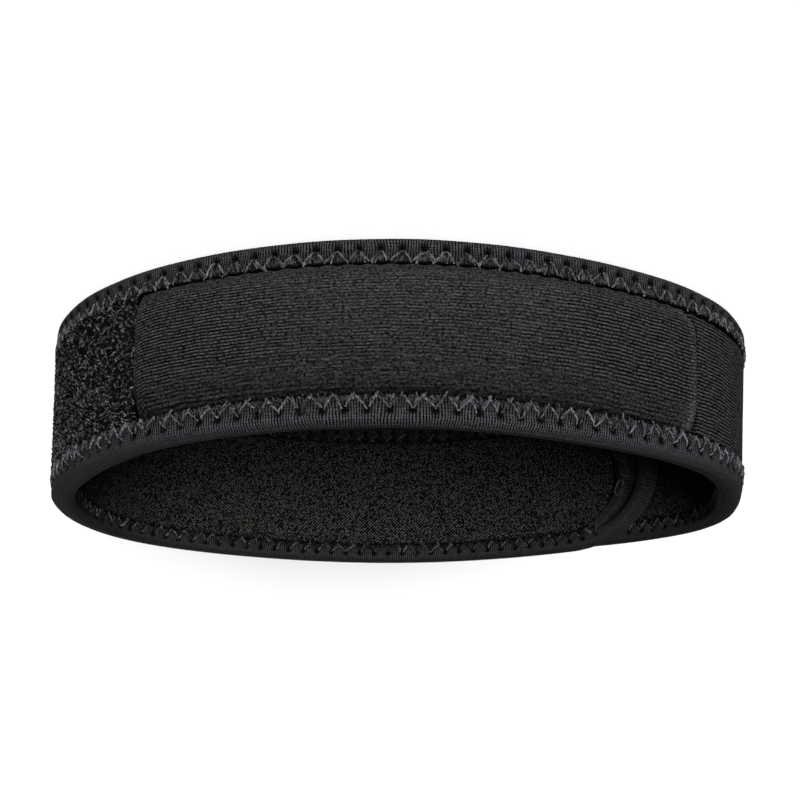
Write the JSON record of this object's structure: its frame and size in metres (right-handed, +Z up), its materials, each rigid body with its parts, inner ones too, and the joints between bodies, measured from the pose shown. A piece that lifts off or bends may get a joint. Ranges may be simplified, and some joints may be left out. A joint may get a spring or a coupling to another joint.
{
  "type": "patella strap",
  "caption": "Padded knit strap with a bound edge, fastened as a closed loop and worn round the leg just under the kneecap.",
  "frame": {"origin": "under the middle of the outside size, on the surface that the lower rim rests on", "axes": "+X across the loop towards the loop-pile side, +Y from the front pad towards the overlap at the back, +Z up through the loop"},
  "size_m": [0.1474, 0.1284, 0.034],
  "materials": {
    "neoprene": "matte foamed rubber",
    "binding_tape": "ribbed tape, slight sheen",
    "loop_pile": "fuzzy brushed loops",
    "jersey_knit": "fine smooth knit",
    "foam": "matte foam",
    "mesh_lining": "dotted mesh knit",
    "hook_tape": "fine moulded hooks"
  },
  "bodies": {
    "root": {"strap_core": "neoprene", "edge_binding": "binding_tape", "pile_panel": "loop_pile", "knit_cover": "jersey_knit", "pad_insert": "foam", "mesh_lining": "mesh_lining", "hook_patch": "hook_tape"}
  },
  "joints": []
}
